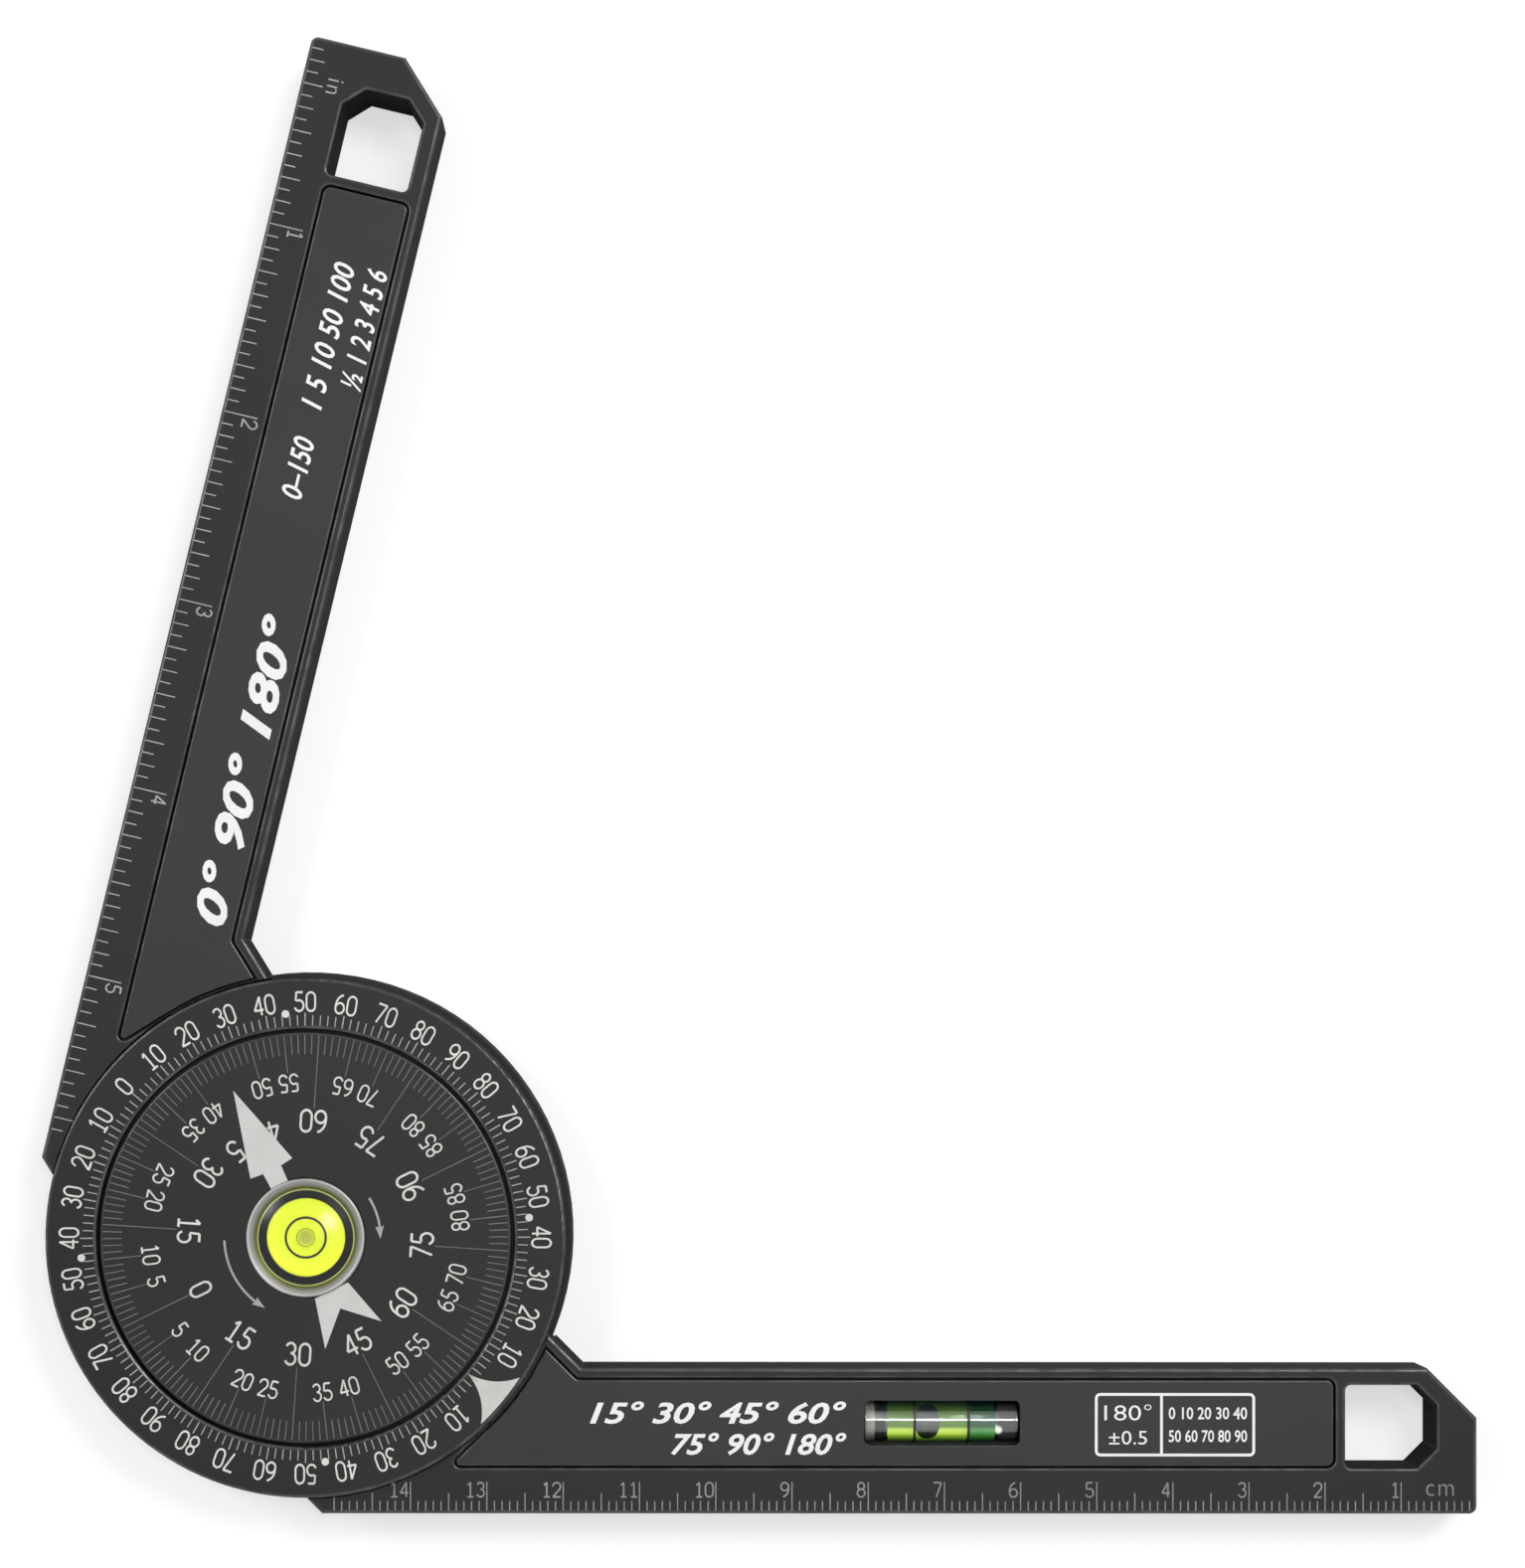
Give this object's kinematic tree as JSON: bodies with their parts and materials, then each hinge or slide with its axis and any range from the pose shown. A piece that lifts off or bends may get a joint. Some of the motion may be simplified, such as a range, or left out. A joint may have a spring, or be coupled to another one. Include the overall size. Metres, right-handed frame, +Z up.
{
  "type": "angle finder",
  "caption": "Flat angle finder: two ruler arms turn on a round hub with a scale ring, a dial, a bullseye level and a tube level.",
  "frame": {"origin": "on the hub axis, in the plane of the back face that the tool lies on", "axes": "+X along the base arm from the hub to its tip, +Y towards the swing arm, +Z up out of the dial"},
  "size_m": [0.1885, 0.1939, 0.0106],
  "materials": {
    "arm_plastic": "satin black moulded plastic",
    "panel_plastic": "satin black moulded plastic with fine grain",
    "ring_plastic": "satin black with printed scale",
    "dial_plastic": "satin black with printed scale",
    "screw_steel": "zinc plated",
    "spring_steel": "rolled",
    "glide_plastic": "natural",
    "bed_plastic": "moulded",
    "clear_acrylic": "polished clear",
    "plug_plastic": "moulded",
    "mark_black": "printed",
    "green_liquid": "clear liquid",
    "bezel_metal": "turned and polished",
    "cup_plastic": "moulded",
    "pad_yellow": "fluorescent",
    "yellow_liquid": "clear liquid"
  },
  "bodies": {
    "base": {"base_arm": "arm_plastic", "base_panel": "panel_plastic", "scale_ring": "ring_plastic", "ring_screws": "screw_steel", "glide_washer": "glide_plastic", "vial_bed": "bed_plastic", "vial_tube": "clear_acrylic", "vial_plugs": "plug_plastic", "vial_rings": "mark_black", "vial_liquid": "green_liquid"},
    "swing": {"swing_arm": "arm_plastic", "swing_panel": "panel_plastic", "dial": "dial_plastic", "dial_screws": "screw_steel", "friction_washer": "spring_steel", "back_cap": "arm_plastic", "bullseye_bezel": "bezel_metal", "bullseye_cup": "cup_plastic", "bullseye_pad": "pad_yellow", "bullseye_fluid": "yellow_liquid", "bullseye_lens": "clear_acrylic"}
  },
  "joints": [
    {"name": "hub_hinge", "type": "hinge", "parent": "base", "child": "swing", "pos_m": [0, 0, 0], "axis": [0, 0, 1], "range_deg": [-76.6, 103.4]}
  ]
}
